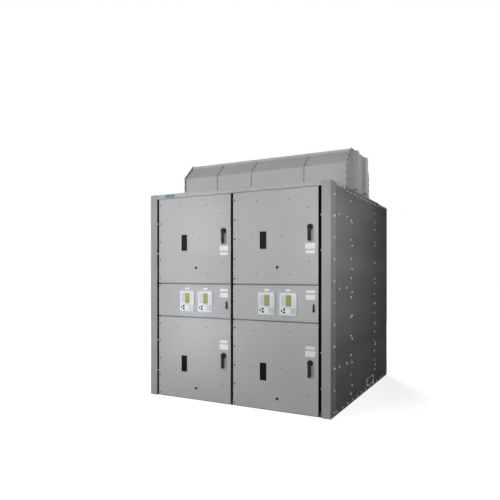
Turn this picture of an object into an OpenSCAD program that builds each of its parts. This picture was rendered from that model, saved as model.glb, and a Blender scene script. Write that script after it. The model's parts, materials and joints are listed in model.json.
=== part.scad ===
// Two-section, two-high metal-clad switchgear line-up with an exhaust duct on its roof.
// Frame: origin on the floor at the middle of the plan, +Z up, the doors face -Y, +X to their right.
// Depths are counted from the plane of the door faces towards the rear covers.

/* [Enclosure] */
// Distance between the centre lines of neighbouring door gaps, one section
section_pitch = 1030; // [960:1:1200]
// Depth from the door faces to the rear covers
body_d = 2540; // [2300:1:2900]
// Height of the enclosure without the exhaust duct
body_h = 2420; // [2380:1:2600]
// Thickness of the folded sheet steel
sheet = 3; // [2:0.5:4]
// Outer radius of a folded sheet edge
bend_r = 6; // [4.5:0.5:6]
// Width of a front end trim
trim_w = 100; // [85:1:140]
// Depth of the end trim along the side wall
trim_return = 165; // [130:1:220]
// How far the end trims and the header stand behind the door faces
trim_setback = 5; // [3:1:8]
// Height of the header above the upper doors
header_h = 50; // [40:1:70]
// Depth of the front cells, measured to their rear barrier
cell_d = 730; // [650:1:900]
// Depth at which the middle side sheet meets the rear one
rear_bay_d = 1812; // [1740:1:2000]
// Open seam between neighbouring sheets
sheet_seam = 2; // [1:0.5:4]

/* [Base and posts] */
// Height of the base frame
base_h = 60; // [50:1:100]
// Steel thickness of the base frame
base_t = 5; // [4:0.5:8]
// Width of the base frame's bottom flange
base_flange = 80; // [60:1:120]
// Diameter of an anchor hole
anchor_hole = 18; // [14:1:24]
// Distance of an anchor hole from the outer faces of the base frame
anchor_edge = 40; // [25:1:50]
// Width of a front or rear post
post_w = 60; // [50:1:80]
// Depth of a front or rear post
post_d = 60; // [40:1:80]
// Height of the rail at the front of a cell shelf
rail_h = 50; // [40:1:70]

/* [Doors] */
// Gap between neighbouring doors, and between a door and an end trim
door_gap = 30; // [28:1:40]
// Gap between doors one above the other
door_seam = 12; // [8:1:20]
// Height of the lower door's bottom edge above the floor
door_floor_gap = 14; // [8:1:30]
// Level of the seam between the lower door and the control door
control_floor = 962; // [920:1:1050]
// Distance from that seam to the one under the upper door
control_h = 390; // [370:1:430]
// Depth of a door's folded edge
door_d = 25; // [22:1:30]
// Clearance between the back of a closed door and the posts
door_clear = 7; // [5:1:10]
// Width of a stiffener on a door's back
stiffener_w = 60; // [40:1:80]
// Depth of a stiffener on a door's back
stiffener_d = 18; // [12:1:19]

/* [Hinges] */
// Depth of the hinge axis behind the door faces
hinge_d = 9; // [8:0.5:12]
// Radius of a hinge pin
pin_r = 4; // [3:0.5:5]
// Radius of a hinge knuckle
knuckle_r = 7; // [6:0.5:8]
// Length of the knuckle on the door
knuckle_h = 50; // [30:1:80]
// Length of each knuckle on the post
post_knuckle_h = 30; // [20:1:50]
// Thickness of a hinge leaf
leaf_t = 4; // [3:0.5:6]
// Distance of a hinge's middle from the door's upper or lower edge
hinge_edge = 110; // [90:1:140]
// Running clearance round a pin or a spindle
running = 0.2; // [0.1:0.05:0.4]
// End clearance between knuckles
knuckle_play = 1; // [0.5:0.1:2]

/* [Breaker doors] */
// Width of a sight window's opening
window_w = 76; // [60:1:100]
// Height of a sight window's opening
window_h = 186; // [150:1:220]
// Distance of a sight window's centre line from the hinge edge of its door
window_x = 373; // [320:1:400]
// Height of the upper door's window centre above that door's bottom edge
upper_window_z = 472; // [420:1:520]
// Height of the lower door's window centre above that door's bottom edge
lower_window_z = 402; // [360:1:450]
// Thickness of the window pane
pane_t = 6; // [4:0.5:10]
// Overlap of the pane behind the edge of its opening
pane_lap = 14; // [8:1:20]
// Distance of a racking port from the hinge edge of its door
port_x = 540; // [500:1:580]
// Height of the upper door's racking port above that door's bottom edge
upper_port_z = 179; // [150:1:220]
// Height of the lower door's racking port above that door's bottom edge
lower_port_z = 128; // [100:1:180]
// Diameter of the racking port's hole
port_hole = 24; // [18:1:30]
// Diameter of the racking port's cover
port_cover = 31; // [28:1:40]

/* [Handles] */
// Distance of a handle from the free edge of its door
handle_x = 88; // [80:1:110]
// Height of the upper door's handle above that door's bottom edge
upper_handle_z = 594; // [560:1:660]
// Height of the lower door's handle above that door's bottom edge
lower_handle_z = 539; // [500:1:600]
// Radius of the handle's round hub
hub_r = 26; // [20:1:32]
// Height of the hub
hub_h = 26; // [20:1:36]
// Chamfer round the hub's front
hub_edge = 4; // [2:0.5:6]
// Length of the lever from the hub's centre to the centre of its tip
lever_l = 132; // [110:1:160]
// Half width of the lever at the hub
lever_root_r = 16; // [14:1:19]
// Half width of the lever at its tip
lever_tip_r = 15; // [10:1:16]
// Thickness of the lever
lever_t = 16; // [10:1:20]
// Radius of the handle's spindle
spindle_r = 9; // [6:0.5:12]
// Height of the fixed boss under the hub
boss_h = 4; // [2:0.5:6]

/* [Control doors] */
// Width of a relay's face
relay_w = 200; // [160:1:210]
// Height of a relay's face
relay_h = 244; // [220:1:260]
// How far a relay's face stands in front of its door
relay_face_d = 14; // [8:1:20]
// Depth of a relay's case behind its door
relay_case_d = 160; // [120:1:200]
// Overlap of a relay's face over the edge of its cut-out
relay_lap = 8; // [5:1:12]
// Distance of the first relay's left edge from the hinge edge of its door
relay_x = 316; // [290:1:330]
// Distance between the two relays' left edges
relay_pitch = 251; // [240:1:270]
// Height of a relay's bottom edge above the bottom edge of its door
relay_z = 60; // [40:1:70]
// Width of the raised rim round a relay's face
relay_rim = 8; // [5:1:12]
// How far a relay's face is sunk behind its rim
relay_sink = 2; // [1:0.5:4]
// Radius of a relay's key switches
knob_r = 10; // [7:1:12]
// How far the key switches stand in front of the relay's rim
knob_out = 6; // [3:1:9]
// Distance of the latch from the free edge of its door
latch_x = 48; // [42:1:60]
// Height of the latch's pivot above the bottom edge of its door
latch_z = 116; // [90:1:140]
// Length of the latch's lever
latch_l = 68; // [50:1:90]
// Radius of the latch's hub
latch_r = 11; // [9:1:12]

/* [Exhaust duct] */
// Depth of the duct's front flange behind the door faces
duct_front = 660; // [600:1:700]
// Depth of the duct from flange edge to flange edge
duct_d = 1000; // [900:1:1080]
// Height of the duct's top flange above the roof
duct_h = 515; // [460:1:580]
// Size of the sloped corner along the duct's front and rear top edges
duct_chamfer = 195; // [150:1:230]
// Width of the bolted flanges round the duct's two ends
duct_flange = 25; // [20:1:35]
// Width of the bolted flanges where two duct sections meet
joint_flange = 12; // [10:1:20]
// Height of the duct's lid above its top panel
lid_h = 12; // [8:1:20]
// How far the lid's lips stand out from the ridges beside the sloped panels
lid_out = 18; // [12:1:30]
// Distance of the duct's ends from the side walls
duct_inset = 40; // [38:1:80]
// Length of the first duct section from the left
duct_first = 495; // [420:1:560]
// Length of the second duct section
duct_second = 495; // [420:1:560]
// Length of the third duct section
duct_third = 700; // [620:1:760]
// Width of a rib on an end cover
rib_w = 90; // [60:1:100]
// Depth of a rib on an end cover
rib_d = 54; // [30:1:60]
// Distance between the middles of an end cover's ribs
rib_pitch = 400; // [330:1:420]

/* [Lifting angles] */
// Depth of the angle's front end behind the door faces
angle_front = 500; // [300:1:600]
// Length of a lifting angle
angle_l = 1530; // [1200:1:1700]
// Height of the angle's upright leg
angle_h = 74; // [60:1:100]
// Width of the angle's flat leg
angle_w = 34; // [25:1:36]
// Thickness of the angle
angle_t = 4; // [3:0.5:4]

/* [Hidden] */
$fn = 48;
SECTIONS = 2;
RIBS = 2;
body_w = SECTIONS * section_pitch + door_gap + 2 * trim_w;
half_w = body_w / 2;
inner_w = half_w - sheet;
front_y = -body_d / 2;
frame_d = door_d + door_clear;
cells_back = cell_d - sheet;
inside_back = body_d - sheet;
cell_start = frame_d + post_d;
roof_under = body_h - sheet;
upper_floor = control_floor + control_h;
duct_top = body_h + duct_h;
panel_top = duct_top - duct_flange;
duct_back = duct_front + duct_d;
duct_half = half_w - duct_inset;
cut = 1;
port_cover_t = 4;
relay_play = 1;
rail_lap = 5;
shaft_end = 8;
washer_t = 4;
hub_gap = 1;
latch_plate_t = 3;
latch_lever_t = 12;
latch_tip_r = 7;
latch_spindle_r = 6;
screen_x = [0.38, 0.70];
screen_z = [0.40, 0.88];
screen_sink = 3;
keypad_x = [0.63, 0.95];
keypad_z = [0.07, 0.35];
keypad_sink = 1;
knob_x = 0.30;
knob_z = [0.14, 0.27];
ridge_shift = sqrt(2) - 1;

LOWER_DOOR = [door_floor_gap, control_floor - door_seam / 2];
CONTROL_DOOR = [control_floor + door_seam / 2, upper_floor - door_seam / 2];
UPPER_DOOR = [upper_floor + door_seam / 2, body_h - header_h - door_seam / 2];

// Section 0 is the left one and section 1 the right one
LEFT = 0;
RIGHT = 1;
function gap_x(i) = (i - SECTIONS / 2) * section_pitch;
function door_x(s) = [gap_x(s) + door_gap / 2, gap_x(s + 1) - door_gap / 2];
function hinge_levels(z) = [z[0] + hinge_edge, z[1] - hinge_edge];
function span(middle, size) = [middle - size / 2, middle + size / 2];
function grow(range, by) = [range[0] - by, range[1] + by];
function share_of(range, share) = [for (f = share) range[0] + f * (range[1] - range[0])];

// Box between two places across, in depth and in height
module block(x, d, z)
  translate([x[0], front_y + d[0], z[0]])
    cube([x[1] - x[0], d[1] - d[0], z[1] - z[0]]);

// Outline in X and depth, drawn up between two levels
module upright(z)
  translate([0, front_y, z[0]]) linear_extrude(z[1] - z[0]) children();

// Outline in depth and height, drawn along X
module along_x(x)
  translate([x[0], front_y, 0]) rotate([90, 0, 90]) linear_extrude(x[1] - x[0]) children();

// Outline in X and height, drawn between two depths
module between_depths(d)
  translate([0, front_y + d[1], 0]) rotate([90, 0, 0]) linear_extrude(d[1] - d[0]) children();

// Round bar or bore along the depth
module round_bar(x, z, r, d)
  translate([x, front_y + d[0], z]) rotate([-90, 0, 0]) cylinder(r = r, h = d[1] - d[0]);

// Rectangle between two places on each axis of an outline
module area(u, v)
  translate([u[0], v[0]]) square([u[1] - u[0], v[1] - v[0]]);

// Round bar along the depth that widens from its front to its back
module tapered_bar(x, z, front_r, back_r, d)
  translate([x, front_y + d[0], z]) rotate([-90, 0, 0])
    cylinder(r1 = front_r, r2 = back_r, h = d[1] - d[0]);

// Rectangle across and in depth with its two front corners rounded
module soft_front(u, d, r) {
  area(grow(u, -r), d);
  area(u, [d[0] + r, d[1]]);
  for (x = grow(u, -r))
    translate([x, d[0] + r]) circle(r = r);
}

// Block with its four front edges rounded
module soft_block(x, d, z, r) {
  intersection() {
    upright(z) soft_front(x, d, r);
    along_x(x) mirror([1, -1]) soft_front(z, d, r);
  }
}

// Lever outline from a round hub at the origin to a smaller round tip, upwards or downwards
module lever_outline(root_r, tip_r, length, way) {
  lean = asin((root_r - tip_r) / length);
  side = [cos(lean), way * sin(lean)];
  tip = [0, way * length];
  circle(r = root_r);
  translate(tip) circle(r = tip_r);
  polygon([root_r * side, tip + tip_r * side, tip + [-tip_r * side[0], tip_r * side[1]],
    [-root_r * side[0], root_r * side[1]]]);
}

// Square tube seen end on
module tube_outline(x, d) {
  difference() {
    area(x, d);
    area(grow(x, -sheet), grow(d, -sheet));
  }
}

module base_frame() {
  outer_x = [-inner_w, inner_w];
  outer_d = [frame_d, inside_back];
  color("dimgray")
  difference() {
    union() {
      block(outer_x, outer_d, [base_h - sheet, base_h]);
      difference() {
        block(outer_x, outer_d, [0, base_h - sheet]);
        block(grow(outer_x, -base_t), grow(outer_d, -base_t), [base_t, base_h]);
        block(grow(outer_x, -base_flange), grow(outer_d, -base_flange), [-cut, base_h]);
      }
      block([-base_flange / 2, base_flange / 2], grow(outer_d, -base_t), [0, base_t]);
      block([-base_t / 2, base_t / 2], grow(outer_d, -base_t), [0, base_h]);
    }
    for (x = grow(outer_x, -anchor_edge), d = grow(outer_d, -anchor_edge))
      translate([x, front_y + d, -cut]) cylinder(d = anchor_hole, h = base_t + 2 * cut);
  }
}

module side_sheets(x) {
  stations = [trim_return, cell_d, rear_bay_d, inside_back];
  color("gray")
  for (i = [0 : len(stations) - 2])
    block(x, [stations[i] + (i == 0 ? 0 : sheet_seam), stations[i + 1]], [0, body_h]);
}

module left_side_sheets() side_sheets([-half_w, -inner_w]);
module right_side_sheets() side_sheets([inner_w, half_w]);

module cell_partition() {
  color("lightgray") {
    block([-sheet / 2, sheet / 2], [cell_start, cell_d], [base_h, roof_under]);
    block([-inner_w, inner_w], [cells_back, cell_d], [base_h, roof_under]);
  }
}

module shelves(s) {
  wall = sheet / 2;
  across = s == LEFT ? [-inner_w, -wall] : [wall, inner_w];
  mouth = [gap_x(s) + post_w / 2, gap_x(s + 1) - post_w / 2];
  color("lightgray")
  for (level = [control_floor, upper_floor]) {
    block(across, [cell_start, cells_back], [level, level + sheet]);
    along_x(mouth) tube_outline([frame_d, cell_start], span(level, rail_h));
    block(mouth, [cell_start - sheet, cell_start + rail_lap], [level, level + sheet]);
  }
}

module left_shelves() shelves(LEFT);
module right_shelves() shelves(RIGHT);

module front_posts() {
  color("gray")
  for (i = [0 : SECTIONS])
    upright([base_h, roof_under]) tube_outline(span(gap_x(i), post_w), [frame_d, cell_start]);
}

module front_header() {
  z = [body_h - header_h, body_h];
  d = [trim_setback, frame_d];
  color("silver")
  along_x([-half_w + trim_w, half_w - trim_w])
    mirror([1, -1])
      difference() {
        soft_front(z, d, bend_r);
        soft_front(grow(z, -sheet), [d[0] + sheet, d[1] + cut], bend_r - sheet);
      }
}

// Folded trim round a front corner with a tab on top, drawn for the right end
module end_trim() {
  inner = half_w - trim_w;
  back = trim_return - sheet_seam;
  color("silver") {
    upright([0, body_h])
      difference() {
        soft_front([inner, half_w], [trim_setback, back], bend_r);
        soft_front([inner + sheet, inner_w], [trim_setback + sheet, back + cut], bend_r - sheet);
        area([inner - cut, inner + sheet + cut], [frame_d, back + cut]);
      }
    upright([body_h - sheet, body_h]) soft_front([inner, half_w], [trim_setback, frame_d], bend_r);
  }
}

module left_end_trim() mirror([1, 0, 0]) end_trim();
module right_end_trim() end_trim();

module roof_sheets() {
  color("darkgray")
  for (x = [[-inner_w, -sheet_seam / 2], [sheet_seam / 2, inner_w]])
    block(x, [frame_d, inside_back], [roof_under, body_h]);
}

module lifting_angles() {
  outer = half_w + angle_t;
  color("gray")
  for (side = [0, 1])
    mirror([side, 0, 0])
      translate([0, front_y + angle_front, 0])
        rotate([90, 0, 180]) mirror([1, 0, 0]) linear_extrude(angle_l) {
          area([half_w, outer], [body_h + angle_t - angle_h, body_h + angle_t]);
          area([outer - angle_w, outer], [body_h, body_h + angle_t]);
        }
}

// Duct outline in depth and height, drawn in by a distance all round
module duct_outline(by) {
  corner = by * ridge_shift;
  slope_z = duct_top - duct_chamfer - corner;
  slope_d = duct_chamfer + corner;
  polygon([[duct_front + by, body_h], [duct_front + by, slope_z],
    [duct_front + slope_d, duct_top - by], [duct_back - slope_d, duct_top - by],
    [duct_back - by, slope_z], [duct_back - by, body_h]]);
}

module duct_ring(outer, inner) {
  difference() {
    duct_outline(outer);
    translate([0, -cut]) duct_outline(inner);
    duct_outline(inner);
  }
}

// Lid outline: a flat top with a down-turned lip that meets each sloped panel
module duct_lid() {
  ridge = duct_chamfer + duct_flange * ridge_shift - lid_out;
  d = [duct_front + ridge, duct_back - ridge];
  z = [panel_top - lid_out, panel_top + lid_h];
  difference() {
    area(d, z);
    area(grow(d, -sheet), [z[0] - cut, z[1] - sheet]);
  }
}

// Flange where two sections meet, which stops below the lips of the lid
module joint_ring() {
  intersection() {
    duct_ring(duct_flange - joint_flange, duct_flange + sheet);
    area([duct_front, duct_back], [body_h, panel_top - lid_out]);
  }
}

// One length of duct with a lid, a flange at each end and feet on the roof; the ends that take
// a cover have the wide flange
module duct_section(x, left_covered, right_covered) {
  foot_w = duct_flange + sheet;
  left = [x[0], x[0] + sheet];
  right = [x[1] - sheet, x[1]];
  color("silver") {
    along_x(x) duct_ring(duct_flange, duct_flange + sheet);
    along_x(x) duct_lid();
    for (end = [[left, left_covered], [right, right_covered]])
      along_x(end[0])
        if (end[1]) duct_ring(0, duct_flange + sheet);
        else joint_ring();
    for (d = [[duct_front, duct_front + foot_w], [duct_back - foot_w, duct_back]])
      block(x, d, [body_h, body_h + sheet]);
  }
}

DUCT_JOINTS = [-duct_half, -duct_half + duct_first, -duct_half + duct_first + duct_second,
  -duct_half + duct_first + duct_second + duct_third, duct_half];
module duct_section_1() duct_section([DUCT_JOINTS[0], DUCT_JOINTS[1]], true, false);
module duct_section_2() duct_section([DUCT_JOINTS[1], DUCT_JOINTS[2]], false, false);
module duct_section_3() duct_section([DUCT_JOINTS[2], DUCT_JOINTS[3]], false, false);
module duct_section_4() duct_section([DUCT_JOINTS[3], DUCT_JOINTS[4]], false, true);

// Flat end cover with two hollow upright ribs, drawn for the right end
module duct_end() {
  cover_x = [duct_half, duct_half + sheet];
  rib_z = [body_h + angle_h / 2, panel_top];
  first_rib = duct_front + (duct_d - (RIBS - 1) * rib_pitch - rib_w) / 2;
  color("gray") {
    along_x(cover_x) duct_outline(0);
    for (i = [0 : RIBS - 1])
      upright(rib_z)
        translate([cover_x[1], first_rib + i * rib_pitch])
          difference() {
            square([rib_d, rib_w]);
            translate([-cut, sheet]) square([rib_d - sheet + cut, rib_w - 2 * sheet]);
          }
  }
}

module duct_left_end() mirror([1, 0, 0]) duct_end();
module duct_right_end() duct_end();

module rear_post() {
  color("gray")
  upright([base_h, roof_under])
    tube_outline(span(0, post_w), [inside_back - post_d, inside_back]);
}

module rear_covers() {
  middle = body_h / 2;
  color("silver")
  for (x = [[-half_w, -sheet_seam / 2], [sheet_seam / 2, half_w]])
    for (z = [[door_floor_gap, middle - sheet_seam / 2], [middle + sheet_seam / 2, body_h]])
      block(x, [inside_back, body_d], z);
}

// Pin with the two knuckles that a post carries, and their leaves
module post_hinge(x, level) {
  reach = knuckle_h / 2 + knuckle_play;
  full = 2 * (reach + post_knuckle_h);
  translate([x, front_y + hinge_d, level - full / 2]) cylinder(r = pin_r, h = full);
  for (z = [level - full / 2, level + reach]) {
    translate([x, front_y + hinge_d, z]) cylinder(r = knuckle_r, h = post_knuckle_h);
    block(span(x, leaf_t), [hinge_d, frame_d], [z, z + post_knuckle_h]);
  }
}

module post_hinges(s) {
  color("dimgray")
  for (door = [LOWER_DOOR, CONTROL_DOOR, UPPER_DOOR], level = hinge_levels(door))
    post_hinge(gap_x(s), level);
}

module left_hinges() post_hinges(LEFT);
module right_hinges() post_hinges(RIGHT);

// Folded door with its own hinge knuckles
module door_shell(s, z) {
  x = door_x(s);
  difference() {
    union() {
      difference() {
        soft_block(x, [0, door_d], z, bend_r);
        soft_block(grow(x, -sheet), [sheet, door_d + cut], grow(z, -sheet), bend_r - sheet);
      }
      for (level = hinge_levels(z)) {
        translate([gap_x(s), front_y + hinge_d, level - knuckle_h / 2])
          cylinder(r = knuckle_r, h = knuckle_h);
        block([gap_x(s), x[0] + sheet], span(hinge_d, leaf_t), span(level, knuckle_h));
      }
    }
    for (level = hinge_levels(z))
      translate([gap_x(s), front_y + hinge_d, level - knuckle_h / 2 - cut])
        cylinder(r = pin_r + running, h = knuckle_h + 2 * cut);
  }
}

// Hat-shaped stiffener on a door's back, open towards the sheet
module stiffener(x, z) {
  upright(z)
    difference() {
      area(span(x, stiffener_w), [sheet, sheet + stiffener_d]);
      area(span(x, stiffener_w - 2 * sheet), [sheet, stiffener_d]);
    }
}

module breaker_door(s, z, window_z, port_z, handle_z) {
  x = door_x(s);
  handle = x[1] - handle_x;
  color("silver")
  difference() {
    union() {
      door_shell(s, z);
      for (middle = [x[0] + window_x / 2, (x[0] + port_x + handle) / 2])
        stiffener(middle, grow(z, -hinge_edge));
      round_bar(handle, z[0] + handle_z, hub_r, [-boss_h, 0]);
    }
    block(span(x[0] + window_x, window_w), [-cut, sheet + cut], span(z[0] + window_z, window_h));
    round_bar(x[0] + port_x, z[0] + port_z, port_hole / 2, [-cut, sheet + cut]);
    round_bar(handle, z[0] + handle_z, spindle_r + running, [-boss_h - cut, sheet + cut]);
  }
}

module upper_door(s) breaker_door(s, UPPER_DOOR, upper_window_z, upper_port_z, upper_handle_z);
module lower_door(s) breaker_door(s, LOWER_DOOR, lower_window_z, lower_port_z, lower_handle_z);
module left_upper_door() upper_door(LEFT);
module right_upper_door() upper_door(RIGHT);
module left_lower_door() lower_door(LEFT);
module right_lower_door() lower_door(RIGHT);

module window(s, z) {
  color([0.1, 0.1, 0.11])
  block(span(door_x(s)[0] + window_x, window_w + 2 * pane_lap), [sheet, sheet + pane_t],
    span(z, window_h + 2 * pane_lap));
}

module left_upper_window() window(LEFT, UPPER_DOOR[0] + upper_window_z);
module right_upper_window() window(RIGHT, UPPER_DOOR[0] + upper_window_z);
module left_lower_window() window(LEFT, LOWER_DOOR[0] + lower_window_z);
module right_lower_window() window(RIGHT, LOWER_DOOR[0] + lower_window_z);

module port_cap(s, z) {
  x = door_x(s)[0] + port_x;
  color([0.08, 0.08, 0.08]) {
    round_bar(x, z, port_cover / 2, [-port_cover_t, 0]);
    round_bar(x, z, port_hole / 2 - running, [-port_cover_t, sheet]);
  }
}

module left_upper_port_cover() port_cap(LEFT, UPPER_DOOR[0] + upper_port_z);
module right_upper_port_cover() port_cap(RIGHT, UPPER_DOOR[0] + upper_port_z);
module left_lower_port_cover() port_cap(LEFT, LOWER_DOOR[0] + lower_port_z);
module right_lower_port_cover() port_cap(RIGHT, LOWER_DOOR[0] + lower_port_z);

// Turning handle: hub and hanging lever on a spindle, with a washer behind the sheet
module handle(s, z) {
  x = door_x(s)[1] - handle_x;
  hub_back = -boss_h - hub_gap;
  hub_front = hub_back - hub_h;
  color([0.07, 0.07, 0.07]) {
    round_bar(x, z, hub_r, [hub_front + hub_edge, hub_back]);
    tapered_bar(x, z, hub_r - hub_edge, hub_r, [hub_front, hub_front + hub_edge]);
    round_bar(x, z, spindle_r, [hub_front, sheet + hub_gap + washer_t + shaft_end]);
    round_bar(x, z, 2 * spindle_r, [sheet + hub_gap, sheet + hub_gap + washer_t]);
    translate([x, 0, z])
      between_depths([hub_front - lever_t / 2, hub_front + lever_t / 2])
        lever_outline(lever_root_r, lever_tip_r, lever_l, -1);
  }
}

module left_upper_handle() handle(LEFT, UPPER_DOOR[0] + upper_handle_z);
module right_upper_handle() handle(RIGHT, UPPER_DOOR[0] + upper_handle_z);
module left_lower_handle() handle(LEFT, LOWER_DOOR[0] + lower_handle_z);
module right_lower_handle() handle(RIGHT, LOWER_DOOR[0] + lower_handle_z);

function relay_left(s, i) = door_x(s)[0] + relay_x + i * relay_pitch;
RELAYS = [0, 1];
RELAY_FACE_Z = [CONTROL_DOOR[0] + relay_z, CONTROL_DOOR[0] + relay_z + relay_h];

module control_door(s) {
  x = door_x(s)[1] - latch_x;
  z = CONTROL_DOOR[0] + latch_z;
  color("silver")
  difference() {
    union() {
      door_shell(s, CONTROL_DOOR);
      between_depths([-latch_plate_t, 0]) {
        area(span(x, 2 * latch_r), [z, z + latch_l]);
        for (level = [z, z + latch_l])
          translate([x, level]) circle(r = latch_r);
      }
    }
    for (i = RELAYS) {
      face = [relay_left(s, i), relay_left(s, i) + relay_w];
      block(grow(face, -relay_lap), [-cut, sheet + cut], grow(RELAY_FACE_Z, -relay_lap));
    }
    round_bar(x, z, latch_spindle_r + running, [-latch_plate_t - cut, sheet + cut]);
  }
}

module left_control_door() control_door(LEFT);
module right_control_door() control_door(RIGHT);

// Flush relay: a rimmed face that laps the cut-out, with a sunk screen and keypad and two key
// switches, and a case behind the door
module relay(x, z) {
  rim = -relay_face_d;
  face = rim + relay_sink;
  difference() {
    union() {
      soft_block(x, [rim, 0], z, relay_sink);
      block(grow(x, -relay_lap - relay_play), [-relay_play, relay_case_d],
        grow(z, -relay_lap - relay_play));
    }
    block(grow(x, -relay_rim), [rim - cut, face], grow(z, -relay_rim));
    block(share_of(x, screen_x), [rim - cut, face + screen_sink], share_of(z, screen_z));
    block(share_of(x, keypad_x), [rim - cut, face + keypad_sink], share_of(z, keypad_z));
  }
  for (level = share_of(z, knob_z))
    round_bar(share_of(x, [knob_x])[0], level, knob_r, [rim - knob_out, face]);
}

module relays(s) {
  color("whitesmoke")
  for (i = RELAYS)
    relay([relay_left(s, i), relay_left(s, i) + relay_w], RELAY_FACE_Z);
}

module left_relays() relays(LEFT);
module right_relays() relays(RIGHT);

// Small paddle latch that points upwards from its pivot
module latch(s) {
  x = door_x(s)[1] - latch_x;
  z = CONTROL_DOOR[0] + latch_z;
  back = -latch_plate_t - hub_gap;
  color([0.07, 0.07, 0.07]) {
    translate([x, 0, z])
      between_depths([back - latch_lever_t, back]) lever_outline(latch_r, latch_tip_r, latch_l, 1);
    round_bar(x, z, latch_spindle_r, [back - latch_lever_t, sheet + hub_gap + washer_t + shaft_end]);
    round_bar(x, z, 2 * latch_spindle_r, [sheet + hub_gap, sheet + hub_gap + washer_t]);
  }
}

module left_latch() latch(LEFT);
module right_latch() latch(RIGHT);

base_frame();
left_side_sheets();
right_side_sheets();
cell_partition();
left_shelves();
right_shelves();
front_posts();
front_header();
left_end_trim();
right_end_trim();
roof_sheets();
lifting_angles();
duct_section_1();
duct_section_2();
duct_section_3();
duct_section_4();
duct_left_end();
duct_right_end();
rear_post();
rear_covers();
left_hinges();
right_hinges();
left_upper_door();
left_upper_window();
left_upper_handle();
left_upper_port_cover();
left_control_door();
left_relays();
left_latch();
left_lower_door();
left_lower_window();
left_lower_handle();
left_lower_port_cover();
right_upper_door();
right_upper_window();
right_upper_handle();
right_upper_port_cover();
right_control_door();
right_relays();
right_latch();
right_lower_door();
right_lower_window();
right_lower_handle();
right_lower_port_cover();
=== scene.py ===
# Looks of a two-section metal-clad switchgear line-up with an exhaust duct on its roof.
import json
import math
from itertools import product

import bmesh
import bpy
from mathutils import Matrix, Vector


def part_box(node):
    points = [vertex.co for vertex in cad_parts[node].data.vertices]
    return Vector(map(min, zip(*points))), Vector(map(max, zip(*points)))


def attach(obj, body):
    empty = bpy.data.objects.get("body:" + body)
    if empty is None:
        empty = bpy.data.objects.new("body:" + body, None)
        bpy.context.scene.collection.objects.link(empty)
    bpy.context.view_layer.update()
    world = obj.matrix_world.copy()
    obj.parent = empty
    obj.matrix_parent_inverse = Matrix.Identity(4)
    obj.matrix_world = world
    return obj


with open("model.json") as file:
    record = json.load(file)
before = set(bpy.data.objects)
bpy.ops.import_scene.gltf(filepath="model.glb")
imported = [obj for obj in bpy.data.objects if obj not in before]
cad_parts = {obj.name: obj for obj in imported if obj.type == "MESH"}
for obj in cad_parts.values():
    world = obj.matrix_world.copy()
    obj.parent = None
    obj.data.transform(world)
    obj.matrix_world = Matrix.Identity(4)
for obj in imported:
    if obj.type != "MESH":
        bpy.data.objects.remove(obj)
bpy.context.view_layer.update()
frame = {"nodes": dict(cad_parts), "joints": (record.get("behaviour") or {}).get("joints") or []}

ENCLOSURE = "enclosure"
SIDES = ("left", "right")
BREAKER_TIERS = ("upper", "lower")
TIERS = ("upper", "control", "lower")

# Planes and edges of the frame, in metres
JOINT_AT = {joint["name"]: Vector(joint["pos_m"]) for joint in frame["joints"]}
HALF_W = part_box("rear_covers")[1].x
REAR_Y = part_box("rear_covers")[1].y
FRONT_Y = -REAR_Y
BODY_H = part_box("roof_sheets")[1].z
BODY_D = REAR_Y - FRONT_Y
HALF_GAP = JOINT_AT["right_upper_door_hinge"].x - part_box("left_upper_door")[1].x
GAP_X = [JOINT_AT["left_upper_door_hinge"].x, JOINT_AT["right_upper_door_hinge"].x,
         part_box("right_upper_door")[1].x + HALF_GAP]
POST_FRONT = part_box("front_posts")[0].y
TRIM_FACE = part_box("right_end_trim")[0].y
TRIM_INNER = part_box("right_end_trim")[0].x

# Curve of the standard colour levels
TOP_LEVEL = 255
STRAIGHT_BELOW, STRAIGHT_SLOPE = 0.04045, 12.92
CURVE_OFFSET, CURVE_POWER = 0.055, 2.4


def srgb(*levels):
    """Linear colour from red, green and blue levels of 0 to 255."""
    linear = []
    for share in (level / TOP_LEVEL for level in levels):
        curved = ((share + CURVE_OFFSET) / (1 + CURVE_OFFSET)) ** CURVE_POWER
        linear.append(share / STRAIGHT_SLOPE if share <= STRAIGHT_BELOW else curved)
    return (*linear, 1.0)


def shade(colour, factor):
    """The same colour, lighter or darker."""
    return (*[min(1.0, c * factor) for c in colour[:3]], 1.0)


# Materials

# Shares of a factor between which a ramp's two colours run
RAMP_STOPS = (0.3, 0.7)
# Gloss patches are this many times as fine as the colour clouds
GLOSS_SCALE = 3
GLOSS_DETAIL, GLOSS_SPREAD = 3, 0.15
GRAIN_DETAIL, GRAIN_HEIGHT = 2, 0.0006


def add_node(tree, kind, **inputs):
    """A shader node with some of its inputs set."""
    made = tree.nodes.new(kind)
    for name, value in inputs.items():
        made.inputs[name.replace("_", " ")].default_value = value
    return made


def noise(tree, coords, scale, detail):
    """Value of a noise at some coordinates."""
    made = add_node(tree, "ShaderNodeTexNoise", Scale=scale, Detail=detail)
    tree.links.new(coords, made.inputs["Vector"])
    return made.outputs["Fac"]


def ramp(tree, factor, low, high):
    """Colour that runs from low to high across the middle of a factor."""
    made = tree.nodes.new("ShaderNodeValToRGB")
    for stop, place, colour in zip(made.color_ramp.elements, RAMP_STOPS, (low, high)):
        stop.position = place
        stop.color = colour
    tree.links.new(factor, made.inputs["Fac"])
    return made.outputs["Color"]


def spread(tree, factor, low, high):
    """Value that runs from low to high with a noise."""
    made = add_node(tree, "ShaderNodeMapRange", To_Min=low, To_Max=high)
    tree.links.new(factor, made.inputs["Value"])
    return made.outputs["Result"]


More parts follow.
